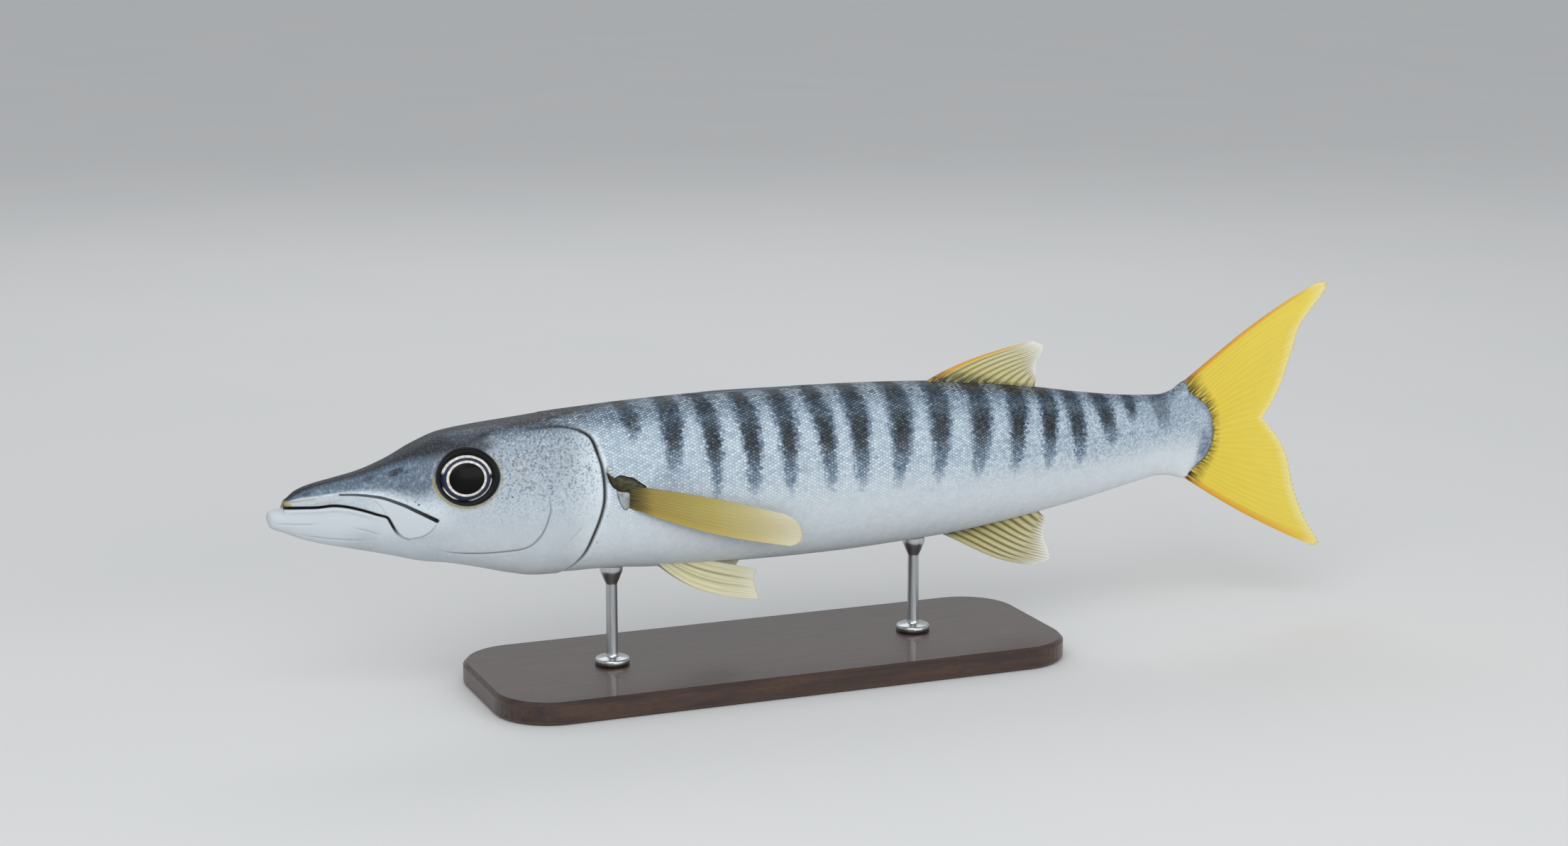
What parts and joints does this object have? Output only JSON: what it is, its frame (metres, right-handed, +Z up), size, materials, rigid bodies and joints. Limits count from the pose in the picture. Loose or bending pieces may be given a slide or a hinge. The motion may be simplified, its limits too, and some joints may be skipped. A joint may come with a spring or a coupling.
{
  "type": "barracuda display model",
  "caption": "Life-size still model of a barred, yellow-tailed barracuda, level, with mouth shut and fins spread, on a flat base with short rods up to the belly.",
  "frame": {"origin": "middle of the fish's length, at the level of the underside of the stand's base", "axes": "-X towards the snout and +X towards the tail, -Y towards the fish's left side, +Z up"},
  "size_m": [0.7987, 0.15, 0.2494],
  "materials": {
    "head_skin": "smooth silvery skin, blue-grey above, wet-looking semi-gloss",
    "jaw_skin": "smooth white skin, semi-gloss",
    "body_skin": "small silver scales, blue-grey back with dark bars, white belly, semi-gloss",
    "eye": "wet, glossy, black pupil with silver and dark blue rings",
    "pale_fin": "thin cream and olive membrane between rays, satin",
    "pectoral_fin": "thin olive-yellow membrane fading to cream, satin",
    "tail_fin": "bright yellow membrane with orange edges, satin",
    "stand_wood": "dark stained wood, satin varnish",
    "stand_steel": "fine brushed steel"
  },
  "bodies": {
    "root": {"head": "head_skin", "lower_jaw": "jaw_skin", "maxilla_left": "jaw_skin", "maxilla_right": "jaw_skin", "gill_cover_left": "head_skin", "gill_cover_right": "head_skin", "eye_left": "eye", "eye_right": "eye", "trunk_front": "body_skin", "trunk_rear": "body_skin", "tail_stalk": "body_skin", "first_dorsal_fin": "pale_fin", "second_dorsal_fin": "pale_fin", "anal_fin": "pale_fin", "pectoral_fin_left": "pectoral_fin", "pectoral_fin_right": "pectoral_fin", "pelvic_fin_left": "pale_fin", "pelvic_fin_right": "pale_fin", "caudal_fin_upper": "tail_fin", "caudal_fin_lower": "tail_fin", "stand_base": "stand_wood", "stand_rod_front": "stand_steel", "stand_rod_rear": "stand_steel"}
  },
  "joints": []
}
